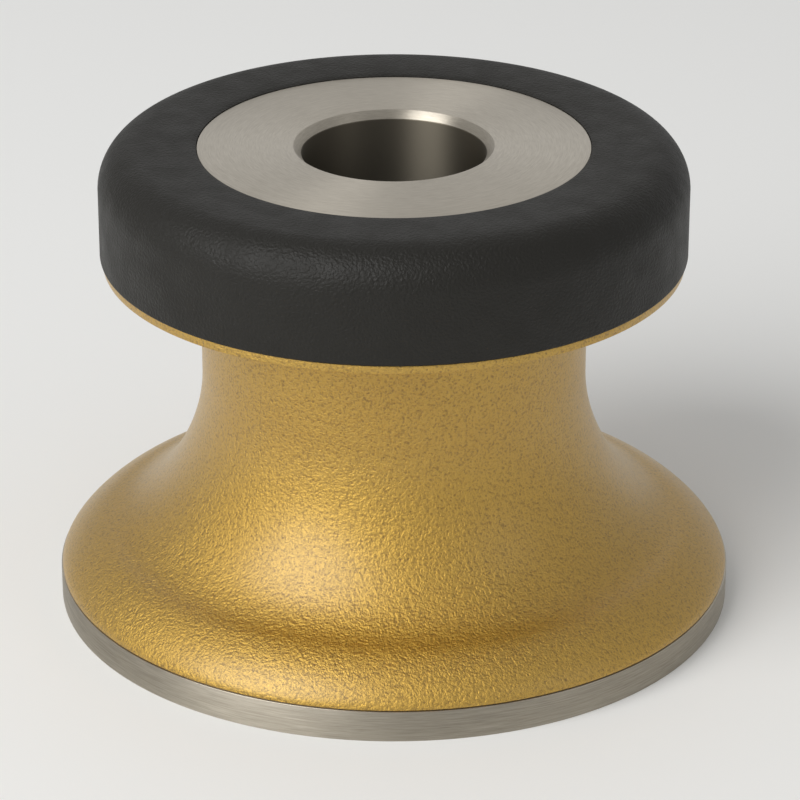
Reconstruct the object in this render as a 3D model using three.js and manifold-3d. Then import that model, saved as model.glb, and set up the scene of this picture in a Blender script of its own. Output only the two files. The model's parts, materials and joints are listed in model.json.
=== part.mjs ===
// Sailboat winch: single speed, direct drive. A waisted grip drum turns on two roller cages
// about a fixed stem. Pawls in the stem's flange hold the drum against the rope's pull, and
// pawls in the head of the spindle drive it. It winds clockwise, seen from above.
// Millimetres, +Z up, origin at the centre of the underside, where it meets the deck.

import * as THREE from "three";
import { mergeVertices } from "three/addons/utils/BufferGeometryUtils.js";
import Module from "manifold-3d";

const wasm = await Module();
wasm.setup();

// ---- Fits
const runGap = 0.3; // on the radius, between pieces that turn against each other
const faceGap = 0.2; // between faces that rest on each other
const snugGap = 0.3; // round a piece that is held fast in a seat cut for it
const edgeBreak = 0.3; // small chamfer on turned edges

// ---- Base plate, with countersunk deck bolts round a raised step
const footRadius = 60;
const rimHeight = 5.55;
const stepRise = 1.05;
const stepInset = 3.5;
const drainRadius = 4;
const boltCount = 5;
const boltInset = 10.5; // from the foot's edge to the bolts' axes
const boltHole = 3.3;
const boltSink = 6.4;

// ---- Drum, outside
const lipGap = 0.15; // running gap between the lip and the rim below it
const lipInset = 0.2;
const lipWall = 2.8;
const neckRadius = 33.9;
const drumRise = 57.65; // from the lip's underside to the ledge's
const flareHeight = 36.3; // from the lip's underside to where the neck runs straight
const flareTurn = { out: 0.65, up: 0.2094, slope: 73.7 }; // where the flare turns from hollow
// to full: its share of the way out, its share of the flare's height, and degrees off upright
const flarePull = { neck: 11.9, hollow: 9.1, full: 4.9, lip: 1.5 }; // handles of the two curves
const ledgeRadius = 50.8;
const ledgeThick = 1.42;
const ledgeFillet = 9;

// ---- Crown ring and top cap
const crownRadius = 51.3;
const crownHeight = 19.5;
const crownRound = 7.35;
const crownLipGap = 2; // between the cap's neck and the lip that the cap clamps
const crownLipThick = 1.4;
const crownBreak = { wide: 0.8, deep: 0.3 }; // chamfer round the disc's seat
const discGap = 0.1; // round the disc in its seat
const discReach = 3.07; // how far the disc lies over the lip
const discThick = 3.28;
const discSunk = 0.4; // how far the disc's face lies below the crown ring's
const boreRadius = 16;
const boreChamfer = 1.4;
const neckWall = 4; // wall of the cap's threaded neck
const boreWall = 3.5; // wall of the tube that lines the handle's way in
const hubWall = 8.7; // wall of the drum's hub round the cap's neck
const capWeb = 1.4; // left between the disc's underside and the relief in the neck
const sealSection = 0.95;
const sealDrop = 3; // from the disc's underside to the middle of the seal

// ---- Spindle and its handle socket, an eight-point star
const socketFlats = 17.46;
const socketDepth = 28.5;
const lockGroove = { below: 18.5, height: 6, deeper: 0.25 };
const spindleDrain = 2.5;
const shankWall = 3.3; // from the star's points to the outside of the shank
const headHeight = 7.5;
const headInset = 0.8; // the spindle's head stays this far inside the teeth
const socketLeadIn = { wide: 1.8, deep: 1.2 }; // chamfer at the socket's mouth
const spindleGap = 0.3; // between the spindle and its bushes

// ---- Stem, bearings and bushes
const bushWall = 1.5;
const bushLength = 14;
const bushInset = 0.4; // from the stem's ends
const tubeWall = 3.4;
const flangeThick = 6.7;
const rollerRadius = 3;
const rollerLength = 8;
const rollerCount = 8;
const cageWall = 4.6;
const cageRim = 1.7;
const shoulderDrop = 8.85; // from the ledge's underside down to the drum's inner shoulder
const shoulderThick = 2.7;
const washerThick = 0.7;
const lowWasherThick = 1;
const clipThick = 1.2;
const clipStand = 3; // how far the circlip stands out of the stem
const clipBite = 1; // depth of the circlip's groove in the stem
const clipShoulder = 1; // height of stem left above the circlip
const stemScrewCount = 4;
const stemScrewOut = 6; // from the stem's tube to the screws' axes
const stemScrewRadius = 2.5;
const stemScrewHead = { radius: 4.25, height: 3 };
const stemScrewReach = 5; // length of thread in the flange
const stemScrewRecess = 0.5; // from the underside up to the heads

// ---- Ratchets and pawls. Both rings have their teeth inside; a tooth's steep face looks
// the way that the drum must not turn
const toothCount = 24;
const holdPivot = 36; // from the winch's axis to the pins of the holding pawls
const driveWall = 2.85; // from the socket's points to the pockets of the driving pawls
const holdWasherGap = 4; // from those pins to the thrust washer inside them
const holdSizes = {
  out: 3.9, depth: 3.1, wall: 2, lift: 0.7, // ring: pin to tip, tip to root, root to rim, and
  // how far its underside stands above the flange's
  reach: 12, barrel: 2.2, nose: 2.4, pin: 1, bite: 2, // pawl
  pocket: 3.9, floor: 2.3, ahead: 1.6, // the pawl's pocket
};
const driveSizes = {
  out: 3.7, depth: 2.9, wall: 3.8, lift: 0.5,
  reach: 8.9, barrel: 1.9, nose: 1.8, pin: 0.8, bite: 1.6,
  pocket: 3.4, floor: 1.5, ahead: 1.6,
};
const pinGap = 0.12; // between a pawl and its pin
const ringSeat = 1.7; // width of the hub's step that the driving ring rests on
const dowelCount = 3;
const dowelRadius = 1.5;
const leafThick = 0.35;

// ---- Radii, from the handle socket outwards
const socketCorner = (socketFlats / 2) * Math.SQRT2;
const socketDent = socketFlats / 2 / Math.cos(Math.PI / 8);
const shankRadius = socketCorner + shankWall;
const bushOuter = shankRadius + spindleGap + bushWall;
const tubeBore = bushOuter + snugGap / 2;
const tubeRadius = tubeBore + tubeWall;
const rollerTrack = tubeRadius + runGap + rollerRadius;
const drumBore = rollerTrack + rollerRadius + runGap;
const cageInner = rollerTrack - cageWall / 2;
const cageOuter = rollerTrack + cageWall / 2;
const clipRadius = tubeRadius + clipStand;
const stemScrewCircle = tubeRadius + stemScrewOut;
const boltCircle = footRadius - boltInset;

function ratchet(pivot, sizes) {
  const tip = pivot + sizes.out;
  const root = tip + sizes.depth;
  return { ...sizes, pivot, tip, root, outer: root + sizes.wall };
}
const hold = ratchet(holdPivot, holdSizes);
const drive = ratchet(socketCorner + driveWall + driveSizes.pocket, driveSizes);
const headRadius = drive.tip - headInset;
const neckOuter = drive.outer; // the cap's neck and the driving ring share the hub's bore
const hubBore = neckOuter + snugGap;
const hubRadius = hubBore + hubWall;
const crownLip = neckOuter + crownLipGap;
const discRadius = crownLip + discReach;
const clipWay = hubBore - ringSeat;
const lowWasherOuter = hold.pivot - holdWasherGap;

// ---- Heights, stacked up from the deck and down from the ledge
const stepTop = rimHeight + stepRise;
const lipFloor = rimHeight + lipGap;
const flangeFloor = stepTop + faceGap / 2;
const flangeTop = flangeFloor + flangeThick;
const holdFloor = flangeFloor + hold.lift;
const holdTop = flangeTop + faceGap / 2;
const lowWasherTop = flangeTop + faceGap / 2 + lowWasherThick;
const drumCeiling = lowWasherTop + faceGap;
const ledgeFloor = lipFloor + drumRise;
const crownFloor = ledgeFloor + ledgeThick;
const crownSeat = crownFloor + faceGap / 2;
const crownTop = crownSeat + crownHeight;
const discTop = crownTop - discSunk;
const discFloor = discTop - discThick;
const lipTop = discFloor - faceGap;
const hubTop = lipTop - crownLipThick - faceGap;
const shoulderFloor = ledgeFloor - shoulderDrop;
const shoulderTop = shoulderFloor + shoulderThick;
const highWasherFloor = shoulderTop + faceGap / 2;
const clipFloor = highWasherFloor + washerThick + faceGap;
const stemTop = clipFloor + clipThick + clipShoulder;
const headFloor = stemTop + faceGap / 2 + washerThick + faceGap / 2;
const headTop = headFloor + headHeight;
const driveTop = headTop + faceGap / 2;
const driveFloor = headFloor + drive.lift;
const driveLedge = driveFloor - faceGap;
const capFoot = driveTop + runGap;
const cageLength = rollerLength + 2 * cageRim + 2 * runGap;
const lowCageFloor = lowWasherTop + 2 * runGap;
const highCageFloor = shoulderFloor - runGap - cageLength;
const spindleFloor = stepTop + 2 * runGap;

// ---- Looks
const looks = {
  gold: { color: "#b18e4e", metalness: 0.8, roughness: 0.45 },
  black: { color: "#3a3833", metalness: 0, roughness: 0.7 },
  steel: { color: "#b5aea2", metalness: 0.9, roughness: 0.35 },
  bronze: { color: "#9a7440", metalness: 0.8, roughness: 0.4 },
  hardened: { color: "#8d8f92", metalness: 0.9, roughness: 0.3 },
  plastic: { color: "#e2ddcf", metalness: 0, roughness: 0.6 },
  nitrile: { color: "#26272a", metalness: 0, roughness: 0.8 },
};

// ---- Shapes
const degree = Math.PI / 180;
const polar = (r, a) => new THREE.Vector2(r * Math.cos(a), r * Math.sin(a));
const turns = (count, first = 0) =>
  Array.from({ length: count }, (_, k) => first + (k * 2 * Math.PI) / count);

// Joins the corners that faces share, and drops the faces that have shrunk onto the axis.
function welded(geometry) {
  geometry.deleteAttribute("normal");
  geometry.deleteAttribute("uv");
  const merged = mergeVertices(geometry, 1e-4);
  const at = merged.index.array;
  const kept = [];
  for (let i = 0; i < at.length; i += 3) {
    const [a, b, c] = at.slice(i, i + 3);
    if (a !== b && b !== c && c !== a) kept.push(a, b, c);
  }
  merged.setIndex(kept);
  return merged;
}

// A body of revolution about Z from an outline of [radius, height] points that runs
// anticlockwise. An outline off the axis is closed on itself.
function turned(outline, sides = 40) {
  const points = outline.map(([r, z]) => new THREE.Vector2(r, z));
  const [first] = points;
  if (first.x > 0) points.push(first.clone());
  return welded(new THREE.LatheGeometry(points, sides).rotateX(Math.PI / 2));
}

// A prism on an outline of Vector2 points, from one height to another.
function prism(outline, floor, top, holes = []) {
  const shape = new THREE.Shape(outline);
  shape.holes = holes.map((points) => new THREE.Path(points));
  const settings = { depth: top - floor, bevelEnabled: false };
  return welded(new THREE.ExtrudeGeometry(shape, settings).translate(0, 0, floor));
}

const circle = (radius, sides, x = 0, y = 0) =>
  turns(sides).map((a) => polar(radius, a).add(new THREE.Vector2(x, y)));

const rod = (radius, floor, top, sides = 16) => prism(circle(radius, sides), floor, top);

function tube(inner, outer, floor, top, sides = 32) {
  return prism(circle(outer, sides), floor, top, [circle(inner, sides)]);
}

const moved = (geometry, r, a, turn = 0) =>
  geometry.clone().rotateZ(turn).translate(r * Math.cos(a), r * Math.sin(a), 0);

// ---- Booleans
const solidOf = (geometry) =>
  new wasm.Manifold(
    new wasm.Mesh({
      numProp: 3,
      vertProperties: new Float32Array(geometry.attributes.position.array),
      triVerts: new Uint32Array(geometry.index.array),
    }),
  );

function geometryOf(solid) {
  const mesh = solid.getMesh();
  const geometry = new THREE.BufferGeometry();
  geometry.setAttribute("position", new THREE.BufferAttribute(mesh.vertProperties, 3));
  geometry.setIndex(new THREE.BufferAttribute(mesh.triVerts, 1));
  return geometry;
}

function cut(geometry, tools) {
  return geometryOf(tools.reduce((left, tool) => left.subtract(solidOf(tool)), solidOf(geometry)));
}

// ---- Curves of the drum's outside
function bezier(a, b, c, d, steps) {
  const curve = new THREE.CubicBezierCurve(...[a, b, c, d].map((p) => new THREE.Vector2(...p)));
  return curve.getPoints(steps).map((p) => [p.x, p.y]);
}

function arc(r, z, radius, from, to, steps) {
  return Array.from({ length: steps + 1 }, (_, k) => {
    const a = (from + ((to - from) * k) / steps) * degree;
    return [r + radius * Math.cos(a), z + radius * Math.sin(a)];
  });
}

// From the lip's edge, out and up over the full curve, in along the hollow one to the neck,
// and out again under the ledge.
function drumOutside() {
  const lip = footRadius - lipInset;
  const neckFoot = lipFloor + flareHeight;
  const turnAt = [
    neckRadius + (lip - neckRadius) * flareTurn.out,
    lipFloor + flareHeight * flareTurn.up,
  ];
  const slope = flareTurn.slope * degree;
  const along = (far) => [
    turnAt[0] + far * Math.sin(slope),
    turnAt[1] - far * Math.cos(slope),
  ];
  const full = bezier(
    [lip, lipFloor], [lip, lipFloor + flarePull.lip], along(flarePull.full), turnAt, 5,
  );
  const hollow = bezier(
    turnAt, along(-flarePull.hollow),
    [neckRadius, neckFoot - flarePull.neck], [neckRadius, neckFoot], 7,
  );
  const fillet = arc(
    neckRadius + ledgeFillet, ledgeFloor - ledgeFillet, ledgeFillet, 180, 90, 3,
  );
  return [
    ...full, ...hollow.slice(1), ...fillet,
    [ledgeRadius, ledgeFloor], [ledgeRadius, crownFloor],
  ];
}

// ---- Pawls. A pawl is drawn about its pin, with x out from the winch's axis and its nose
// towards -y. It is lifted at rest, with its nose just clear of the teeth, and it drops
// outwards as it turns by a positive angle.
function pawlSweep(set) {
  const leanAt = (r) =>
    -Math.acos((r * r - set.pivot ** 2 - set.reach ** 2) / (2 * set.pivot * set.reach));
  const noseAt = (lean) =>
    Math.atan2(set.reach * Math.sin(lean), set.pivot + set.reach * Math.cos(lean));
  const lifted = leanAt(set.tip - runGap);
  const dropped = leanAt(set.tip + set.bite);
  return {
    lifted,
    swing: dropped - lifted,
    tooth: noseAt(lifted) - runGap / set.tip, // the steep face behind the nose
    face: noseAt(dropped) + Math.PI - (dropped - lifted),
  };
}

function pawlOutline(set, holeRadius) {
  const { lifted, face } = pawlSweep(set);
  const nose = polar(set.reach, lifted);
  const heel = nose.clone().add(polar(set.nose, face));
  const barrel = Array.from({ length: 9 }, (_, k) =>
    polar(set.barrel, lifted - Math.PI / 2 - (k * Math.PI) / 8),
  );
  return { outline: [nose, heel, ...barrel].reverse(), hole: circle(holeRadius, 12) };
}

function pawl(set, floor, top) {
  const { outline, hole } = pawlOutline(set, set.pin + pinGap);
  return prism(outline, floor, top, [hole]);
}

// The space that a pawl swings in: round behind its barrel, open to the rim ahead.
function pawlPocket(set, floor, top) {
  const back = set.barrel + runGap;
  const behind = Array.from({ length: 9 }, (_, k) => polar(back, ((k * Math.PI) / 8)));
  const far = -set.reach - set.ahead;
  const wall = [
    new THREE.Vector2(-set.pocket, -set.barrel),
    new THREE.Vector2(-set.pocket, far),
    new THREE.Vector2(set.reach, far),
    new THREE.Vector2(set.reach, -set.barrel),
  ];
  return prism([...behind, ...wall], floor, top);
}

// A bowed leaf spring, from the pocket's wall beside the barrel to the pawl's heel.
function leafSpring(set, floor, top) {
  const { lifted, face } = pawlSweep(set);
  const heel = polar(set.reach, lifted).add(polar(set.nose, face));
  const foot = new THREE.Vector2(-set.pocket + 0.35, -set.barrel - 0.6);
  const bow = new THREE.Vector2(-set.pocket + 0.3, -0.65 * set.reach);
  const tip = heel.add(new THREE.Vector2(-0.9, 1.1));
  const curve = new THREE.QuadraticBezierCurve(foot, bow, tip);
  const side = (sign) =>
    curve.getPoints(6).map((point, k) => {
      const along = curve.getTangent(k / 6);
      const out = new THREE.Vector2(-along.y, along.x).multiplyScalar((sign * leafThick) / 2);
      return out.add(point);
    });
  return prism([...side(-1), ...side(1).reverse()], floor, top);
}

// A ratchet ring with its teeth inside, its seat for dowels cut into its rim.
function ratchetRing(set, floor, top) {
  const pitch = (2 * Math.PI) / toothCount;
  const { tooth } = pawlSweep(set);
  const teeth = turns(toothCount, tooth).flatMap((a) => [
    polar(set.tip, a), polar(set.root, a), polar((set.root + set.tip) / 2, a + pitch / 2),
  ]);
  return prism(circle(set.outer, 40), floor, top, [teeth]);
}

// Dowels stand half in the ring and half in the wall round it.
const dowelRadiusAt = (set) => set.outer + snugGap / 2;
const dowelAngles = turns(dowelCount, Math.PI / 2);
const dowelHoles = (set, floor, top) =>
  dowelAngles.map((a) =>
    moved(rod(dowelRadius + snugGap, floor, top, 12), dowelRadiusAt(set), a),
  );

// ---- The assembly
const winch = new THREE.Group();
const body = () => {
  const group = new THREE.Group();
  winch.add(group);
  return group;
};
const base = body();
const drum = body();
const spindle = body();

function add(group, name, look, geometry) {
  const mesh = new THREE.Mesh(geometry, new THREE.MeshStandardMaterial(looks[look]));
  mesh.name = name;
  group.add(mesh);
  return mesh;
}

// ---- Base
const screwAngles = turns(stemScrewCount, Math.PI / stemScrewCount);
const screwTop = stepTop + stemScrewReach;
const screwSink = stemScrewRecess + stemScrewHead.height + faceGap / 2;

const boltTool = turned([
  [0, -1], [boltHole, -1], [boltHole, stepTop - (boltSink - boltHole)],
  [boltSink + 1, stepTop + 1], [0, stepTop + 1],
], 20);
const screwTool = turned([
  [0, -1], [stemScrewHead.radius + snugGap, -1], [stemScrewHead.radius + snugGap, screwSink],
  [stemScrewRadius + snugGap, screwSink], [stemScrewRadius + snugGap, stepTop + 1],
  [0, stepTop + 1],
], 16);
add(base, "base_plate", "steel", cut(
  turned([
    [drainRadius, 0], [footRadius - edgeBreak, 0], [footRadius, edgeBreak],
    [footRadius, rimHeight - edgeBreak], [footRadius - edgeBreak, rimHeight],
    [footRadius - stepInset, rimHeight], [footRadius - stepInset, stepTop],
    [drainRadius, stepTop],
  ]),
  [
    ...turns(boltCount, Math.PI / 2).map((a) => moved(boltTool, boltCircle, a)),
    ...screwAngles.map((a) => moved(screwTool, stemScrewCircle, a)),
  ],
));

const flangeRadius = hold.tip - 2 * runGap;
const holdPawlFloor = flangeFloor + hold.floor + faceGap;
const holdPawlTop = flangeTop - faceGap;
const grooveFloor = clipFloor - faceGap;
const holdPawls = turns(2, 0);
add(base, "stem", "steel", cut(
  turned([
    [tubeBore, flangeFloor], [flangeRadius, flangeFloor], [flangeRadius, flangeTop],
    [tubeRadius, flangeTop], [tubeRadius, grooveFloor], [tubeRadius - clipBite, grooveFloor],
    [tubeRadius - clipBite, clipFloor + clipThick + faceGap],
    [tubeRadius, clipFloor + clipThick + faceGap],
    [tubeRadius, stemTop - edgeBreak], [tubeRadius - edgeBreak, stemTop], [tubeBore, stemTop],
  ]),
  [
    ...holdPawls.flatMap((a) => [
      moved(pawlPocket(hold, flangeFloor + hold.floor, flangeTop + 1), hold.pivot, a, a),
      moved(rod(hold.pin + snugGap, flangeFloor - 1, flangeTop, 12), hold.pivot, a),
    ]),
    ...screwAngles.map((a) =>
      moved(rod(stemScrewRadius + snugGap, flangeFloor - 1, screwTop + runGap), stemScrewCircle, a),
    ),
  ],
));

const stemScrew = cut(
  turned([
    [0, stemScrewRecess], [stemScrewHead.radius - edgeBreak, stemScrewRecess],
    [stemScrewHead.radius, stemScrewRecess + edgeBreak],
    [stemScrewHead.radius, screwSink - faceGap / 2], [stemScrewRadius, screwSink - faceGap / 2],
    [stemScrewRadius, screwTop - edgeBreak], [stemScrewRadius - edgeBreak, screwTop],
    [0, screwTop],
  ], 16),
  [rod(0.7 * stemScrewRadius, 0, 2, 6)],
);
screwAngles.forEach((a, k) => {
  const screw = add(base, `stem_screw_${k + 1}`, "steel", stemScrew.clone());
  screw.position.set(stemScrewCircle * Math.cos(a), stemScrewCircle * Math.sin(a), 0);
});

const lowCageTop = lowCageFloor + cageLength;
add(base, "bearing_spacer", "plastic", tube(
  tubeRadius + runGap, cageOuter, lowCageTop + runGap, highCageFloor - runGap,
));
const bushTube = (floor) => tube(bushOuter - bushWall, bushOuter, floor, floor + bushLength, 24);
add(base, "stem_bush_upper", "bronze", bushTube(stemTop - bushInset - bushLength));
add(base, "stem_bush_lower", "bronze", bushTube(flangeFloor + bushInset));
add(base, "drum_thrust_washer_lower", "plastic", tube(
  tubeRadius + 2 * runGap, lowWasherOuter, flangeTop + faceGap / 2, lowWasherTop,
));
add(base, "drum_thrust_washer_upper", "plastic", tube(
  tubeRadius + 2 * runGap, clipWay - 2 * runGap, highWasherFloor, highWasherFloor + washerThick,
));
add(base, "spindle_thrust_washer", "bronze", tube(
  shankRadius + 2 * runGap, tubeRadius - faceGap, stemTop + faceGap / 2,
  stemTop + faceGap / 2 + washerThick, 32,
));

const clipGap = 14 * degree; // half the opening of the circlip
const clipArc = (radius) =>
  Array.from({ length: 25 }, (_, k) =>
    polar(radius, clipGap + (k / 24) * (2 * Math.PI - 2 * clipGap)),
  );
add(base, "stem_circlip", "hardened", prism(
  [...clipArc(clipRadius), ...clipArc(tubeRadius - clipBite + faceGap).reverse()],
  clipFloor, clipFloor + clipThick,
));

holdPawls.forEach((a, k) => {
  const pocket = new THREE.Group();
  pocket.position.set(hold.pivot * Math.cos(a), hold.pivot * Math.sin(a), 0);
  pocket.rotation.z = a;
  base.add(pocket);
  add(pocket, `hold_pawl_pin_${k + 1}`, "hardened", rod(
    hold.pin, flangeFloor + faceGap, flangeTop - faceGap, 12,
  ));
  add(pocket, `hold_pawl_spring_${k + 1}`, "hardened", leafSpring(
    hold, holdPawlFloor, holdPawlTop - 0.5,
  ));
  add(pocket, `hold_pawl_${k + 1}`, "bronze", pawl(hold, holdPawlFloor, holdPawlTop));
});

// ---- Drum
const holdSeat = hold.outer + snugGap;
const driveSeat = hubBore;
add(drum, "drum", "gold", cut(
  turned([
    ...drumOutside(),
    [hubRadius, crownFloor], [hubRadius, hubTop - edgeBreak], [hubRadius - edgeBreak, hubTop],
    [hubBore, hubTop], [driveSeat, driveLedge], [clipWay, driveLedge], [clipWay, shoulderTop],
    [tubeRadius + 2 * runGap, shoulderTop], [tubeRadius + 2 * runGap, shoulderFloor],
    [drumBore, shoulderFloor], [drumBore, drumCeiling], [lowWasherOuter + 1, drumCeiling],
    [lowWasherOuter + 1, holdTop + runGap], [holdSeat, holdTop + runGap],
    [holdSeat, holdFloor - faceGap],
    [footRadius - lipInset - lipWall, holdFloor - faceGap],
    [footRadius - lipInset - lipWall, lipFloor],
  ]),
  [
    ...dowelHoles(hold, 0, holdTop + runGap),
    ...dowelHoles(drive, driveLedge, driveTop + runGap),
  ],
));

add(drum, "crown_ring", "black", turned([
  [hubRadius + snugGap, crownSeat], [crownRadius - edgeBreak, crownSeat],
  [crownRadius, crownSeat + edgeBreak],
  ...arc(crownRadius - crownRound, crownTop - crownRound, crownRound, 0, 90, 4),
  [discRadius + discGap + crownBreak.wide, crownTop],
  [discRadius + discGap, crownTop - crownBreak.deep],
  [discRadius + discGap, lipTop], [crownLip, lipTop], [crownLip, lipTop - crownLipThick],
  [hubRadius + snugGap, lipTop - crownLipThick],
]));

const reliefInner = boreRadius + boreWall;
const reliefOuter = neckOuter - neckWall;
const sealFloor = discFloor - sealDrop - sealSection - snugGap;
const sealTop = discFloor - sealDrop + sealSection + snugGap;
const sealDepth = neckOuter - 2 * sealSection - snugGap / 2;
add(drum, "top_cap", "steel", turned([
  [boreRadius, capFoot], [reliefInner, capFoot], [reliefInner, discFloor - capWeb],
  [reliefOuter, discFloor - capWeb], [reliefOuter, capFoot], [neckOuter, capFoot],
  [neckOuter, sealFloor], [sealDepth, sealFloor], [sealDepth, sealTop], [neckOuter, sealTop],
  [neckOuter, discFloor], [discRadius, discFloor], [discRadius, discTop - edgeBreak],
  [discRadius - edgeBreak, discTop], [boreRadius + boreChamfer, discTop],
  [boreRadius, discTop - boreChamfer],
]));

add(drum, "cap_seal", "nitrile", turned(
  circle(sealSection, 6, neckOuter - sealSection, discFloor - sealDrop).map((p) => [p.x, p.y]),
));

for (const [word, set, floor, top] of [
  ["hold", hold, holdFloor, holdTop], ["drive", drive, driveFloor, driveTop],
]) {
  add(drum, `${word}_ratchet_ring`, "hardened", cut(
    ratchetRing(set, floor, top), dowelHoles(set, floor - 1, top + 1),
  ));
  dowelAngles.forEach((a, k) => {
    const dowel = add(drum, `${word}_ring_dowel_${k + 1}`, "steel", rod(
      dowelRadius, floor, top, 12,
    ));
    const r = dowelRadiusAt(set);
    dowel.position.set(r * Math.cos(a), r * Math.sin(a), 0);
  });
}

// ---- Spindle
const socketFloor = headTop - socketDepth;
const star = turns(16).map((a, k) =>
  polar(k % 2 ? socketDent : socketCorner, a + Math.PI / 4),
);
const grooveTop = headTop - lockGroove.below;
const drivePawls = turns(2, Math.PI / 2);
const drivePawlFloor = headFloor + drive.floor + faceGap;
add(spindle, "spindle", "hardened", cut(
  turned([
    [spindleDrain, spindleFloor], [shankRadius - 2 * edgeBreak, spindleFloor],
    [shankRadius, spindleFloor + 2 * edgeBreak], [shankRadius, headFloor],
    [headRadius, headFloor], [headRadius, headTop - edgeBreak],
    [headRadius - edgeBreak, headTop], [spindleDrain, headTop],
  ], 32),
  [
    prism(star, socketFloor, headTop + 1),
    turned([
      [0, headTop - socketLeadIn.deep], [socketCorner, headTop - socketLeadIn.deep],
      [socketCorner + socketLeadIn.wide, headTop], [socketCorner + socketLeadIn.wide, headTop + 1],
      [0, headTop + 1],
    ], 32),
    rod(socketCorner + lockGroove.deeper, grooveTop - lockGroove.height, grooveTop, 32),
    ...drivePawls.flatMap((a) => [
      moved(pawlPocket(drive, headFloor + drive.floor, headTop + 1), drive.pivot, a, a),
      moved(rod(drive.pin + snugGap, headFloor - 1, headTop, 12), drive.pivot, a),
    ]),
  ],
));
drivePawls.forEach((a, k) => {
  const pocket = new THREE.Group();
  pocket.position.set(drive.pivot * Math.cos(a), drive.pivot * Math.sin(a), 0);
  pocket.rotation.z = a;
  spindle.add(pocket);
  add(pocket, `drive_pawl_pin_${k + 1}`, "hardened", rod(
    drive.pin, headFloor + faceGap, headTop - faceGap, 12,
  ));
  add(pocket, `drive_pawl_spring_${k + 1}`, "hardened", leafSpring(
    drive, drivePawlFloor, headTop - 1,
  ));
  add(pocket, `drive_pawl_${k + 1}`, "bronze", pawl(drive, drivePawlFloor, headTop - faceGap));
});

// ---- Roller cages. Each is a tube with a round pocket through its wall for every roller
for (const [word, floor] of [["lower", lowCageFloor], ["upper", highCageFloor]]) {
  const cage = body();
  const pocketFloor = floor + cageRim;
  const pocketTop = floor + cageLength - cageRim;
  const rollerAngles = turns(rollerCount);
  add(cage, `${word}_cage`, "plastic", cut(
    tube(cageInner, cageOuter, floor, floor + cageLength),
    rollerAngles.map((a) =>
      moved(rod(rollerRadius + runGap, pocketFloor, pocketTop, 16), rollerTrack, a),
    ),
  ));
  rollerAngles.forEach((a, k) => {
    const roller = add(cage, `${word}_roller_${k + 1}`, "hardened", rod(
      rollerRadius, pocketFloor + runGap, pocketTop - runGap, 12,
    ));
    roller.position.set(rollerTrack * Math.cos(a), rollerTrack * Math.sin(a), 0);
  });
}

export default winch;
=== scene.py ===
# Sailboat winch. A waisted bronze drum under a black crown ring turns on a round steel deck
# plate, and a bored steel cap is let into its top. The turned pieces that show are drawn as
# outlines and spun; the pieces inside keep their solids and get their finishes here.
# Units are metres, +Z is up, and the deck is the plane z = 0.

import json
import math

import bpy
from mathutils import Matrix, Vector
from mathutils.geometry import interpolate_bezier


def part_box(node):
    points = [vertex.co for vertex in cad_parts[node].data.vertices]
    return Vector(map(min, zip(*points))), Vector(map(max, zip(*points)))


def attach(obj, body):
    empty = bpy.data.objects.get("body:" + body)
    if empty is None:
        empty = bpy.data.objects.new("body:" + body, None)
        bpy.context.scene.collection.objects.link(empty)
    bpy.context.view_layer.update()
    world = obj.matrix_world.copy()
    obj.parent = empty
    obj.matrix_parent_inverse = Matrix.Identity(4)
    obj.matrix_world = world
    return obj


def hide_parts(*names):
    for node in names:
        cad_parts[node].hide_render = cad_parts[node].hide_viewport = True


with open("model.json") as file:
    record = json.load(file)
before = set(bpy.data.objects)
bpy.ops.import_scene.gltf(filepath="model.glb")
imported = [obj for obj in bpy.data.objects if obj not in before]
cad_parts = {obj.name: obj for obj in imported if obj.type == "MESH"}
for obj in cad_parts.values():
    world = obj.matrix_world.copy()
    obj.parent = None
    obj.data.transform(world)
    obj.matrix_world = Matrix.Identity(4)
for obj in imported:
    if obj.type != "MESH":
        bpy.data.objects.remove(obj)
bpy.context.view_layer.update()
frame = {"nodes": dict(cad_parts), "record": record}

bl_info = {
    "name": "Sailboat winch",
    "version": (1, 0, 0),
    "blender": (4, 5, 0),
    "location": "3D View > Sidebar > Winch",
    "description": "Builds a single-speed sailboat winch and the studio that it stands in",
    "category": "Object",
}

MM = 0.001
WELD = 0.002 * MM  # corners closer than this are one
SMOOTH_BELOW = math.radians(30)  # faces that meet at less than this are shaded as one

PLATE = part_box("base_plate")
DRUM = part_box("drum")
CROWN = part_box("crown_ring")
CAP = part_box("top_cap")
DISC_THICK = 3.28 * MM
CAP_SOLE = CAP[1][2] - DISC_THICK  # underside of the cap's disc

BOLT_CIRCLE = 49.5 * MM
SCREW_CIRCLE = 27 * MM
HUB_RADIUS = 38 * MM

FINISHES = {
    "blasted_bronze": "cast bronze, blasted",
    "moulded_rubber": "hard rubber, moulded",
    "turned_steel": "stainless steel, turned",
    "hardened_steel": "bearing steel, ground",
    "bearing_bronze": "bearing bronze, machined",
    "acetal": "acetal, moulded",
    "nitrile": "nitrile rubber",
}


# ---- What a user would change


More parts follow.
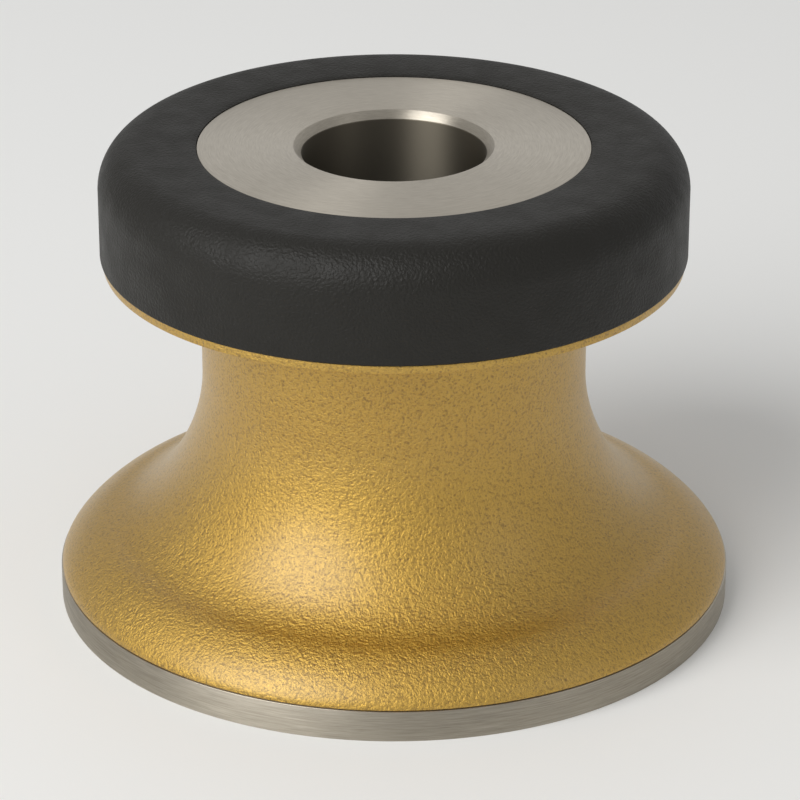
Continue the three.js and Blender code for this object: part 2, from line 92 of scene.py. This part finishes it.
class WinchSizes(bpy.types.PropertyGroup):
    """Sizes of the pieces that show, where their solids don't give them"""

    steps: bpy.props.IntProperty(
        name="Steps", description="Steps in one turn of a spun outline", default=192, min=48
    )
    edge_round: bpy.props.FloatProperty(
        name="Edge rounding", description="Radius on the turned edges",
        default=0.1 * MM, unit="LENGTH", precision=5,
    )
    rim_height: bpy.props.FloatProperty(
        name="Rim height", description="Height of the deck plate's rim",
        default=5.55 * MM, unit="LENGTH", precision=5,
    )
    neck_radius: bpy.props.FloatProperty(
        name="Neck radius", description="Radius of the drum's waist",
        default=33.9 * MM, unit="LENGTH", precision=5,
    )
    neck_foot: bpy.props.FloatProperty(
        name="Neck foot", description="Height where the flare meets the straight waist",
        default=42 * MM, unit="LENGTH", precision=5,
    )
    ledge_radius: bpy.props.FloatProperty(
        name="Ledge radius", description="Radius of the thin ledge under the crown ring",
        default=50.8 * MM, unit="LENGTH", precision=5,
    )
    ledge_thick: bpy.props.FloatProperty(
        name="Ledge thickness", description="Thickness of the ledge under the crown ring",
        default=1.42 * MM, unit="LENGTH", precision=5,
    )
    crown_round: bpy.props.FloatProperty(
        name="Crown rounding", description="Radius of the crown ring's outer shoulder",
        default=7.35 * MM, unit="LENGTH", precision=5,
    )
    bore_radius: bpy.props.FloatProperty(
        name="Bore radius", description="Radius of the handle's way through the cap",
        default=16 * MM, unit="LENGTH", precision=5,
    )
    bore_chamfer: bpy.props.FloatProperty(
        name="Bore chamfer", description="Width of the chamfer at the bore's mouth",
        default=1.4 * MM, unit="LENGTH", precision=5,
    )


class WinchLooks(bpy.types.PropertyGroup):
    """Colours and grain of the finishes"""

    bronze: bpy.props.StringProperty(
        name="Bronze", description="Colour of the blasted drum, as sRGB hex", default="#C6A046"
    )
    bronze_pit: bpy.props.StringProperty(
        name="Bronze pits", description="Colour in the pits of the blasted drum",
        default="#7A5C2C",
    )
    crown: bpy.props.StringProperty(
        name="Crown", description="Colour of the moulded crown ring", default="#16140E"
    )
    steel: bpy.props.StringProperty(
        name="Steel", description="Colour of the turned steel", default="#DCD5C8"
    )
    grit: bpy.props.FloatProperty(
        name="Grit", description="Width of one dent left by the blasting, in mm",
        default=0.45,
    )
    streaks: bpy.props.FloatProperty(
        name="Streaks", description="How often the lathe's marks break off in one radian",
        default=9,
    )
    # painted shade: the steel inside this radius gets a dark colour
    painted_in_shade: bpy.props.FloatProperty(
        name="Greased", description="Radius inside which the steel is greased, in mm",
        default=16.1,
    )
    feed: bpy.props.FloatProperty(
        name="Feed", description="Spacing of the lathe's marks on the steel, in mm",
        default=0.2,
    )


class WinchStudio(bpy.types.PropertyGroup):
    """The stage, its light and its camera"""

    floor: bpy.props.StringProperty(
        name="Floor", description="Colour of the floor, as sRGB hex", default="#F2F2F0"
    )
    key: bpy.props.FloatProperty(
        name="Key", description="Power of the large light on the left", default=19.5, unit="POWER"
    )
    fill: bpy.props.FloatProperty(
        name="Fill", description="Power of the light on the right", default=0.8, unit="POWER"
    )
    back: bpy.props.FloatProperty(
        name="Back", description="Power of the light behind", default=1.6, unit="POWER"
    )
    sky: bpy.props.FloatProperty(
        name="Sky", description="Strength of the even light all round", default=0.42
    )
    distance: bpy.props.FloatProperty(
        name="Distance", description="From the camera to the middle of the winch",
        default=0.686, unit="LENGTH",
    )
    elevation: bpy.props.FloatProperty(
        name="Elevation", description="The camera's angle above the deck",
        default=math.radians(24.65), unit="ROTATION",
    )


# ---- Drawing and spinning outlines


def deselect():
    """An operator acts on all that is selected, so each piece starts from nothing."""
    bpy.ops.object.select_all(action="DESELECT")


def spun(name, outline, sizes):
    """A turned body. The closed outline of (radius, height) points is drawn in the XZ plane
    by extruding one corner from point to point, and spun about the axis."""
    deselect()
    bpy.ops.mesh.primitive_plane_add(size=MM, enter_editmode=True)
    piece = bpy.context.object
    piece.name = piece.data.name = name
    bpy.ops.mesh.merge(type="CENTER")
    at = Vector((0, 0))
    for count, point in enumerate([*outline, outline[0]]):
        step = Vector(point) - at
        move = {"value": (step.x, 0, step.y)}
        if count:
            bpy.ops.mesh.extrude_region_move(TRANSFORM_OT_translate=move)
        else:
            bpy.ops.transform.translate(**move)
        at = Vector(point)
    bpy.ops.mesh.select_all(action="SELECT")
    bpy.ops.mesh.remove_doubles(threshold=WELD)
    bpy.ops.mesh.spin(
        steps=sizes.steps, angle=math.tau, center=(0, 0, 0), axis=(0, 0, 1)
    )
    bpy.ops.mesh.select_all(action="SELECT")
    bpy.ops.mesh.remove_doubles(threshold=WELD)
    bpy.ops.mesh.normals_make_consistent(inside=False)
    bpy.ops.object.mode_set(mode="OBJECT")
    return piece


def finish_edges(piece, width):
    """Rounds the sharp edges, and shades the rest smooth."""
    sharp = math.radians(32)
    bevel = piece.modifiers.new("edges", "BEVEL")
    bevel.width = width
    bevel.segments = 3
    bevel.limit_method = "ANGLE"
    bevel.angle_limit = sharp
    bpy.ops.object.modifier_apply(modifier=bevel.name)
    bpy.ops.object.shade_smooth_by_angle(angle=SMOOTH_BELOW)


def arc(centre, radius, start, end, steps):
    """Points of a fillet, from one angle to another in degrees."""
    turns = [math.radians(start + (end - start) * k / steps) for k in range(steps + 1)]
    return [
        (centre[0] + radius * math.cos(a), centre[1] + radius * math.sin(a)) for a in turns
    ]


def curve(*handles, steps=24):
    """Points of a Bezier curve through four (radius, height) handles."""
    corners = [Vector((r, z, 0)) for r, z in handles]
    first, pull, push, last = corners
    return [(p.x, p.y) for p in interpolate_bezier(first, pull, push, last, steps + 1)]


def ring_of(count, radius, first):
    """Places spread evenly on a circle, as (radius, angle), from a first angle in degrees."""
    return [(radius, math.radians(first + 360 // count * k)) for k in range(count)]


def drill(piece, radii, heights, places):
    """Cuts one stepped round hole at each (radius, angle) place. The hole's radii go with
    its heights from the bottom up."""
    sides = 32
    for far, turn in places:
        deselect()
        bpy.ops.mesh.primitive_circle_add(
            vertices=sides, radius=radii[0], fill_type="NGON", enter_editmode=True,
            location=(far * math.cos(turn), far * math.sin(turn), heights[0]),
        )
        tool = bpy.context.object
        here = tool.location.copy()
        for below, above, low, high in zip(radii, radii[1:], heights, heights[1:]):
            bpy.ops.mesh.extrude_region_move(
                TRANSFORM_OT_translate={"value": (0, 0, high - low)}
            )
            grow = above / below
            bpy.ops.transform.resize(
                value=(grow, grow, 1), center_override=(here.x, here.y, high)
            )
        bpy.ops.mesh.select_all(action="SELECT")
        bpy.ops.mesh.normals_make_consistent(inside=False)
        bpy.ops.object.mode_set(mode="OBJECT")
        deselect()
        piece.select_set(True)
        bpy.context.view_layer.objects.active = piece
        hole = piece.modifiers.new("hole", "BOOLEAN")
        hole.operation = "DIFFERENCE"
        hole.object = tool
        bpy.ops.object.modifier_apply(modifier=hole.name)
        bpy.data.objects.remove(tool)


# ---- Materials


def linear(code):
    """An sRGB hex colour as linear RGBA."""
    parts = [int(code[k : k + 2], 16) / 255 for k in (1, 3, 5)]
    return (
        *[p / 12.92 if p <= 0.04045 else ((p + 0.055) / 1.055) ** 2.4 for p in parts], 1,
    )


def add_node(tree, kind, settings=None, inputs=None):
    """Adds a node, sets its properties, and gives each input a value or another's output."""
    node = tree.nodes.new(kind)
    for key, value in (settings or {}).items():
        setattr(node, key, value)
    for key, value in (inputs or {}).items():
        if isinstance(value, bpy.types.NodeSocket):
            tree.links.new(value, node.inputs[key])
        else:
            node.inputs[key].default_value = value
    return node


def new_material(name, **shader):
    """A material with its shader's constant values set. Gives its tree and its shader."""
    material = bpy.data.materials.new(name)
    material.use_nodes = True
    tree = material.node_tree
    surface = tree.nodes["Principled BSDF"]
    for key, value in shader.items():
        surface.inputs[key.replace("_", " ")].default_value = value
    return material, tree, surface


def place_in_mm(tree):
    """Places on the piece in millimetres, so that a pattern's scale is one over its width."""
    place = add_node(tree, "ShaderNodeTexCoord").outputs["Object"]
    return add_node(
        tree, "ShaderNodeVectorMath", {"operation": "SCALE"},
        {"Vector": place, "Scale": 1 / MM},
    ).outputs["Vector"]


def blasted_bronze(looks):
    """Cast bronze, blasted with grit and lacquered: dull gold, dented all over, darker in
    the dents."""
    material, tree, surface = new_material(
        "cast bronze, blasted", Metallic=1.0, Coat_Weight=1.0, Coat_Roughness=0.36
    )
    cloud_width, relief = 16, 0.5 * MM  # in mm, and in metres
    place = place_in_mm(tree)
    dents = add_node(
        tree, "ShaderNodeTexNoise", None,
        {"Vector": place, "Scale": 1 / looks.grit, "Detail": 2, "Roughness": 0.6},
    )
    waves = add_node(
        tree, "ShaderNodeTexNoise", None,
        {"Vector": place, "Scale": 0.4 / looks.grit, "Detail": 2, "Roughness": 0.5},
    )
    cloud = add_node(
        tree, "ShaderNodeTexNoise", None,
        {"Vector": place, "Scale": 1 / cloud_width, "Detail": 3},
    )
    height = add_node(
        tree, "ShaderNodeMix", {"data_type": "FLOAT"},
        {"Factor": 0.45, "A": dents.outputs["Fac"], "B": waves.outputs["Fac"]},
    )
    pits = add_node(
        tree, "ShaderNodeMapRange", None,
        {"Value": dents.outputs["Fac"], "From Min": 0.27, "From Max": 0.5,
         "To Min": 0.7, "To Max": 0.0},
    )
    colour = add_node(
        tree, "ShaderNodeMix", {"data_type": "RGBA"},
        {"Factor": pits.outputs["Result"], "A": linear(looks.bronze),
         "B": linear(looks.bronze_pit)},
    )
    rough = add_node(
        tree, "ShaderNodeMapRange", None,
        {"Value": cloud.outputs["Fac"], "From Min": 0.3, "From Max": 0.7,
         "To Min": 0.46, "To Max": 0.54},
    )
    bump = add_node(
        tree, "ShaderNodeBump", None,
        {"Height": height.outputs["Result"], "Strength": 1.0, "Distance": relief},
    )
    tree.links.new(colour.outputs["Result"], surface.inputs["Base Color"])
    tree.links.new(rough.outputs["Result"], surface.inputs["Roughness"])
    tree.links.new(bump.outputs["Normal"], surface.inputs["Normal"])
    return material


def moulded_rubber(looks):
    """Hard rubber moulded in a grained tool: dull black, finely pebbled, slightly uneven."""
    material, tree, surface = new_material(
        "hard rubber, moulded", Base_Color=linear(looks.crown), Specular_IOR_Level=0.38
    )
    pebble_width, swell_width, relief = 0.5, 5, 0.3 * MM  # in mm, and in metres
    place = place_in_mm(tree)
    pebbles = add_node(
        tree, "ShaderNodeTexNoise", None,
        {"Vector": place, "Scale": 1 / pebble_width, "Detail": 2, "Roughness": 0.5},
    )
    swells = add_node(
        tree, "ShaderNodeTexNoise", None,
        {"Vector": place, "Scale": 1 / swell_width, "Detail": 2},
    )
    height = add_node(
        tree, "ShaderNodeMix", {"data_type": "FLOAT"},
        {"Factor": 0.25, "A": pebbles.outputs["Fac"], "B": swells.outputs["Fac"]},
    )
    bump = add_node(
        tree, "ShaderNodeBump", None,
        {"Height": height.outputs["Result"], "Strength": 1.0, "Distance": relief},
    )
    rough = add_node(
        tree, "ShaderNodeMapRange", None,
        {"Value": swells.outputs["Fac"], "From Min": 0.3, "From Max": 0.7,
         "To Min": 0.48, "To Max": 0.58},
    )
    tree.links.new(bump.outputs["Normal"], surface.inputs["Normal"])
    tree.links.new(rough.outputs["Result"], surface.inputs["Roughness"])
    return material


def turned_steel(looks):
    """Stainless steel off the lathe: fine rings about the axis, each a little brighter or
    duller than the next."""
    material, tree, surface = new_material(
        "stainless steel, turned", Metallic=1.0, Anisotropic=0.85, Anisotropic_Rotation=0.25
    )
    face_dark = linear("#A69E90")
    # the darker tones for the rims are painted shade
    rim_shade_dark, rim_shade_light = linear("#827B6D"), linear("#D2CABB")
    # the dark colour for the bore's wall is painted shade
    bore_painted_shade, relief = linear("#736D61"), 0.05 * MM
    place = place_in_mm(tree)
    parts = add_node(tree, "ShaderNodeSeparateXYZ", None, {"Vector": place})
    flat = add_node(
        tree, "ShaderNodeCombineXYZ", None,
        {"X": parts.outputs["X"], "Y": parts.outputs["Y"]},
    )
    radius = add_node(
        tree, "ShaderNodeVectorMath", {"operation": "LENGTH"},
        {"Vector": flat.outputs["Vector"]},
    )
    outward = add_node(
        tree, "ShaderNodeVectorMath", {"operation": "NORMALIZE"},
        {"Vector": flat.outputs["Vector"]},
    )
    around = add_node(
        tree, "ShaderNodeVectorMath", {"operation": "SCALE"},
        {"Vector": outward.outputs["Vector"], "Scale": looks.streaks},
    )
    # radius plus height changes along any turned face, so both faces and rims get rings
    across = add_node(
        tree, "ShaderNodeMath", {"operation": "ADD"},
        {0: radius.outputs["Value"], 1: parts.outputs["Z"]},
    )
    fed = add_node(
        tree, "ShaderNodeMath", {"operation": "DIVIDE"},
        {0: across.outputs["Value"], 1: looks.feed},
    )
    lift = add_node(tree, "ShaderNodeCombineXYZ", None, {"Z": fed.outputs["Value"]})
    streaked = add_node(
        tree, "ShaderNodeVectorMath", {"operation": "ADD"},
        {0: around.outputs["Vector"], 1: lift.outputs["Vector"]},
    )
    rings = add_node(
        tree, "ShaderNodeTexNoise", None,
        {"Vector": streaked.outputs["Vector"], "Scale": 1, "Detail": 3, "Roughness": 0.7},
    )
    bright = add_node(
        tree, "ShaderNodeMix", {"data_type": "RGBA"},
        {"Factor": rings.outputs["Fac"], "A": face_dark, "B": linear(looks.steel)},
    )
    rim_painted_shade = add_node(
        tree, "ShaderNodeMix", {"data_type": "RGBA"},
        {"Factor": rings.outputs["Fac"], "A": rim_shade_dark, "B": rim_shade_light},
    )
    # a rim is cut more coarsely than a face and is rougher; its darker colour is painted shade
    normal = add_node(tree, "ShaderNodeTexCoord").outputs["Normal"]
    upward = add_node(
        tree, "ShaderNodeMath", {"operation": "ABSOLUTE"},
        {0: add_node(tree, "ShaderNodeSeparateXYZ", None, {"Vector": normal}).outputs["Z"]},
    )
    face_or_painted_rim = add_node(
        tree, "ShaderNodeMix", {"data_type": "RGBA"},
        {"Factor": upward.outputs["Value"], "A": rim_painted_shade.outputs["Result"],
         "B": bright.outputs["Result"]},
    )
    # painted shade: the wall of the handle's bore is given a dark colour
    painted_in_shade = add_node(
        tree, "ShaderNodeMath", {"operation": "LESS_THAN"},
        {0: radius.outputs["Value"], 1: looks.painted_in_shade},
    )
    colour = add_node(
        tree, "ShaderNodeMix", {"data_type": "RGBA"},
        {"Factor": painted_in_shade.outputs["Value"], "A": face_or_painted_rim.outputs["Result"], "B": bore_painted_shade},
    )
    rough = add_node(
        tree, "ShaderNodeMapRange", None,
        {"Value": upward.outputs["Value"], "To Min": 0.56, "To Max": 0.34},
    )
    bump = add_node(
        tree, "ShaderNodeBump", None,
        {"Height": rings.outputs["Fac"], "Strength": 0.3, "Distance": relief},
    )
    brushed = add_node(
        tree, "ShaderNodeTangent", {"direction_type": "RADIAL", "axis": "Z"}
    )
    tree.links.new(brushed.outputs["Tangent"], surface.inputs["Tangent"])
    tree.links.new(colour.outputs["Result"], surface.inputs["Base Color"])
    tree.links.new(rough.outputs["Result"], surface.inputs["Roughness"])
    tree.links.new(bump.outputs["Normal"], surface.inputs["Normal"])
    return material


def plain_finish(name, code, grain, depth, **shader):
    """A finish for the pieces inside: one colour, clouded and dented. The grain is its width
    in mm, and the depth is in metres."""
    material, tree, surface = new_material(name, **shader)
    place = place_in_mm(tree)
    noise = add_node(
        tree, "ShaderNodeTexNoise", None, {"Vector": place, "Scale": 1 / grain, "Detail": 3},
    )
    high = linear(code)
    low = (*[0.8 * part for part in high[:3]], 1)
    colour = add_node(
        tree, "ShaderNodeMix", {"data_type": "RGBA"},
        {"Factor": noise.outputs["Fac"], "A": low, "B": high},
    )
    bump = add_node(
        tree, "ShaderNodeBump", None,
        {"Height": noise.outputs["Fac"], "Strength": 0.3, "Distance": depth},
    )
    tree.links.new(colour.outputs["Result"], surface.inputs["Base Color"])
    tree.links.new(bump.outputs["Normal"], surface.inputs["Normal"])
    return material


def dress(piece, material):
    """The material alone on a piece."""
    piece.data.materials.clear()
    piece.data.materials.append(material)


def finish_of(slot):
    """The finish that an earlier operator has made for a slot of the part."""
    return bpy.data.materials[FINISHES[slot]]


def place_piece(piece, node, slot):
    """The piece moves with its node's body, and stands for that node."""
    dress(piece, finish_of(slot))
    body = next(
        body for body, nodes in frame["record"]["behaviour"]["bodies"].items()
        if node in nodes
    )
    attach(piece, body)
    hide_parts(node)


# ---- Operators


class WINCH_OT_finishes(bpy.types.Operator):
    """Makes the finishes and gives the pieces inside theirs"""

    bl_idname = "winch.finishes"
    bl_label = "Finishes"

    def execute(self, context):
        looks = context.scene.winch_looks
        blasted_bronze(looks)
        moulded_rubber(looks)
        turned_steel(looks)
        # ground and hardened bearing steel: grey, bright, hardly any grain
        plain_finish(
            "bearing steel, ground", "#8E9092", 0.4, 0.01 * MM, Metallic=1.0, Roughness=0.25
        )
        # machined bearing bronze: redder than the drum, and smooth
        plain_finish(
            "bearing bronze, machined", "#B08A52", 0.6, 0.01 * MM, Metallic=1.0, Roughness=0.32
        )
        # moulded acetal: milky white, waxy
        plain_finish("acetal, moulded", "#E2DDCF", 2, 0.02 * MM, Roughness=0.4, IOR=1.48)
        # nitrile rubber: dull black
        plain_finish("nitrile rubber", "#26272A", 0.3, 0.02 * MM, Roughness=0.7, IOR=1.52)
        slots = {
            part["node"]: part["material_slot"] for part in frame["record"]["subparts"]
        }
        for name, node in frame["nodes"].items():
            dress(node, finish_of(slots[name]))
        return {"FINISHED"}


class WINCH_OT_deck_plate(bpy.types.Operator):
    """Spins the steel plate under the drum, and drills it for its screws and deck bolts"""

    bl_idname = "winch.deck_plate"
    bl_label = "Deck plate"

    def execute(self, context):
        sizes = context.scene.winch_sizes
        rim, top = PLATE[1][0], PLATE[1][2]
        drain, step = 4 * MM, rim - 3.5 * MM  # radii of the drain and of the raised step
        piece = spun("deck_plate", [
            (drain, 0), (rim, 0), (rim, sizes.rim_height), (step, sizes.rim_height),
            (step, top), (drain, top),
        ], sizes)
        finish_edges(piece, sizes.edge_round)
        clear = 1 * MM  # how far the cutting bodies stand out of the plate
        # the sink's cone is carried on up to the top of the cutting body
        bolt_hole, bolt_sink, sink_depth = 3.3 * MM, 7.4 * MM, 3.1 * MM
        drill(
            piece, [bolt_hole, bolt_hole, bolt_sink],
            [-clear, top - sink_depth, top + clear], ring_of(5, BOLT_CIRCLE, 90),
        )
        screw_way, screw_depth = 4.55 * MM, 3.6 * MM
        drill(
            piece, [screw_way, screw_way], [-clear, screw_depth],
            ring_of(4, SCREW_CIRCLE, 45),
        )
        bpy.ops.object.shade_smooth_by_angle(angle=SMOOTH_BELOW)
        place_piece(piece, "base_plate", "turned_steel")
        return {"FINISHED"}


class WINCH_OT_drum(bpy.types.Operator):
    """Spins the bronze drum: lip, flare, waist, ledge and hub"""

    bl_idname = "winch.drum"
    bl_label = "Drum"

    def execute(self, context):
        sizes = context.scene.winch_sizes
        lip, foot, top = DRUM[1][0], DRUM[0][2], DRUM[1][2]
        neck = sizes.neck_radius
        crown_foot = CROWN[0][2] - 0.1 * MM  # the ring stands this far above the ledge
        ledge = crown_foot - sizes.ledge_thick
        flare = sizes.neck_foot - foot
        # the flare turns from hollow to full at this share of the way out and of its height
        turn_out, turn_up, slope = 0.65, 0.2094, math.radians(73.7)
        turn_at = (neck + turn_out * (lip - neck), foot + turn_up * flare)
        lip_pull, full_pull, hollow_pull, neck_pull = 1.5 * MM, 4.9 * MM, 9.1 * MM, 11.9 * MM

        def along(far):
            return turn_at[0] + far * math.sin(slope), turn_at[1] - far * math.cos(slope)

        full = curve((lip, foot), (lip, foot + lip_pull), along(full_pull), turn_at, steps=20)
        hollow = curve(
            turn_at, along(-hollow_pull), (neck, sizes.neck_foot - neck_pull),
            (neck, sizes.neck_foot), steps=32,
        )
        fillet = 9 * MM
        under = arc((neck + fillet, ledge - fillet), fillet, 180, 90, 16)
        # inside, from the top down: driving ring, shoulder between the bearings, bearings,
        # thrust washer, holding ring and skirt
        hub_bore, ring_seat = 29.3 * MM, 61.6 * MM
        bearing_bore, bearing_foot = 27.6 * MM, 14.7 * MM
        shoulder_bore, shoulder_top, shoulder_foot = 21.6 * MM, 57.2 * MM, 54.5 * MM
        washer_way, washer_foot = 33 * MM, 13.8 * MM
        ring_way, ring_foot = 45.3 * MM, 7.2 * MM
        skirt = 57 * MM
        piece = spun("drum_casting", [
            *full, *hollow[1:], *under, (sizes.ledge_radius, ledge),
            (sizes.ledge_radius, crown_foot), (HUB_RADIUS, crown_foot), (HUB_RADIUS, top),
            (hub_bore, top), (hub_bore, ring_seat), (bearing_bore, ring_seat),
            (bearing_bore, shoulder_top), (shoulder_bore, shoulder_top),
            (shoulder_bore, shoulder_foot), (bearing_bore, shoulder_foot),
            (bearing_bore, bearing_foot), (washer_way, bearing_foot),
            (washer_way, washer_foot), (ring_way, washer_foot), (ring_way, ring_foot),
            (skirt, ring_foot), (skirt, foot),
        ], sizes)
        finish_edges(piece, sizes.edge_round)
        place_piece(piece, "drum", "blasted_bronze")
        return {"FINISHED"}


class WINCH_OT_crown(bpy.types.Operator):
    """Spins the black crown ring, with its round shoulder and the seat for the cap"""

    bl_idname = "winch.crown"
    bl_label = "Crown ring"

    def execute(self, context):
        sizes = context.scene.winch_sizes
        rim, foot, top = CROWN[1][0], CROWN[0][2], CROWN[1][2]
        seat = CAP[1][0] + 0.1 * MM  # the disc's seat, with the gap round it
        break_wide, break_deep = 0.8 * MM, 0.3 * MM  # chamfer round the seat
        shoulder = sizes.crown_round
        sole_round = 0.4 * MM
        hub_way, lip = 38.3 * MM, 31 * MM  # over the drum's hub, and the lip that the cap clamps
        lip_top = CAP_SOLE - 0.2 * MM
        lip_foot = lip_top - 1.4 * MM
        sole_at = (rim - sole_round, foot + sole_round)
        shoulder_at = (rim - shoulder, top - shoulder)
        piece = spun("crown_moulding", [
            (hub_way, foot), *arc(sole_at, sole_round, 270, 360, 6),
            *arc(shoulder_at, shoulder, 0, 90, 28),
            (seat + break_wide, top), (seat, top - break_deep),
            (seat, lip_top), (lip, lip_top), (lip, lip_foot), (hub_way, lip_foot),
        ], sizes)
        smooth_below = math.radians(25)  # the chamfer runs into the top; its foot stays sharp
        bpy.ops.object.shade_smooth_by_angle(angle=smooth_below)
        place_piece(piece, "crown_ring", "moulded_rubber")
        return {"FINISHED"}


class WINCH_OT_cap(bpy.types.Operator):
    """Spins the steel cap: its disc, its chamfered bore and its neck"""

    bl_idname = "winch.cap"
    bl_label = "Cap"

    def execute(self, context):
        sizes = context.scene.winch_sizes
        rim, foot, top = CAP[1][0], CAP[0][2], CAP[1][2]
        bore, chamfer = sizes.bore_radius, sizes.bore_chamfer
        # underneath: the tube that lines the bore, a relief round it, and the neck outside,
        # with a groove for the seal
        tube, roof = 19.5 * MM, CAP_SOLE - 1.4 * MM
        neck_bore, neck, groove = 25 * MM, 29 * MM, 26.95 * MM
        groove_top, groove_foot = CAP_SOLE - 1.75 * MM, CAP_SOLE - 4.25 * MM
        piece = spun("cap_disc", [
            (bore, foot), (tube, foot), (tube, roof), (neck_bore, roof), (neck_bore, foot),
            (neck, foot), (neck, groove_foot), (groove, groove_foot), (groove, groove_top),
            (neck, groove_top), (neck, CAP_SOLE), (rim, CAP_SOLE), (rim, top),
            (bore + chamfer, top), (bore, top - chamfer),
        ], sizes)
        finish_edges(piece, sizes.edge_round)
        place_piece(piece, "top_cap", "turned_steel")
        return {"FINISHED"}


class WINCH_OT_studio(bpy.types.Operator):
    """Lays the pale floor, hangs the soft lights and sets up the camera"""

    bl_idname = "winch.studio"
    bl_label = "Studio"

    def execute(self, context):
        scene = context.scene
        studio = scene.winch_studio
        floor_side = 8  # metres, so that its edges stay out of sight
        deselect()
        bpy.ops.mesh.primitive_plane_add(size=floor_side, location=(0, 0, 0))
        floor = context.object
        floor.name = "studio_floor"
        material, _, _ = new_material(
            "studio_paper", Base_Color=linear(studio.floor), Roughness=0.9
        )
        dress(floor, material)

        middle = Vector((0, 0, 0.036))  # what the lights and the camera aim at
        # each light's name, power, diameter and place, in metres
        for name, power, size, spot in (
            ("key_light", studio.key, 1.3, (-0.9, -0.8, 1.05)),
            ("fill_light", studio.fill, 0.8, (1.1, -0.7, 0.7)),
            ("back_light", studio.back, 1.6, (0, 1.3, 1.0)),
        ):
            data = bpy.data.lights.new(name, "AREA")
            data.energy = power
            data.shape = "DISK"
            data.size = size
            light = bpy.data.objects.new(name, data)
            light.location = spot
            aim = middle - light.location
            light.rotation_euler = aim.to_track_quat("-Z", "Y").to_euler()
            scene.collection.objects.link(light)

        world = bpy.data.worlds.new("studio_air")
        world.use_nodes = True
        air = world.node_tree.nodes["Background"]
        air.inputs["Color"].default_value = (1, 1, 1, 1)
        air.inputs["Strength"].default_value = studio.sky
        scene.world = world

        data = bpy.data.cameras.new("studio_camera")
        data.lens = 173.6
        data.sensor_width = 36
        data.shift_x = 0.0075
        data.shift_y = -0.00378
        camera = bpy.data.objects.new("studio_camera", data)
        back = Vector((0, -math.cos(studio.elevation), math.sin(studio.elevation)))
        camera.location = middle + studio.distance * back
        camera.rotation_euler = (-back).to_track_quat("-Z", "Y").to_euler()
        scene.collection.objects.link(camera)
        scene.camera = camera
        scene.view_settings.view_transform = "Standard"
        return {"FINISHED"}


class WINCH_PT_panel(bpy.types.Panel):
    """The winch's operators and values, in the 3D view's sidebar"""

    bl_idname = "WINCH_PT_panel"
    bl_label = "Sailboat winch"
    bl_space_type = "VIEW_3D"
    bl_region_type = "UI"
    bl_category = "Winch"

    def draw(self, context):
        for operator in OPERATORS:
            self.layout.operator(operator.bl_idname)
        for group in GROUPS:
            box = self.layout.box()
            for key in GROUPS[group].__annotations__:
                box.prop(getattr(context.scene, group), key)


OPERATORS = (
    WINCH_OT_finishes, WINCH_OT_deck_plate, WINCH_OT_drum, WINCH_OT_crown, WINCH_OT_cap,
    WINCH_OT_studio,
)
GROUPS = {
    "winch_sizes": WinchSizes, "winch_looks": WinchLooks, "winch_studio": WinchStudio,
}


def register():
    for group, kind in GROUPS.items():
        bpy.utils.register_class(kind)
        setattr(bpy.types.Scene, group, bpy.props.PointerProperty(type=kind))
    for kind in (*OPERATORS, WINCH_PT_panel):
        bpy.utils.register_class(kind)


def unregister():
    for kind in (WINCH_PT_panel, *reversed(OPERATORS)):
        bpy.utils.unregister_class(kind)
    for group, kind in GROUPS.items():
        delattr(bpy.types.Scene, group)
        bpy.utils.unregister_class(kind)


def main():
    register()
    bpy.ops.winch.finishes()
    bpy.ops.winch.deck_plate()
    bpy.ops.winch.drum()
    bpy.ops.winch.crown()
    bpy.ops.winch.cap()
    bpy.ops.winch.studio()


if __name__ == "__main__":
    main()
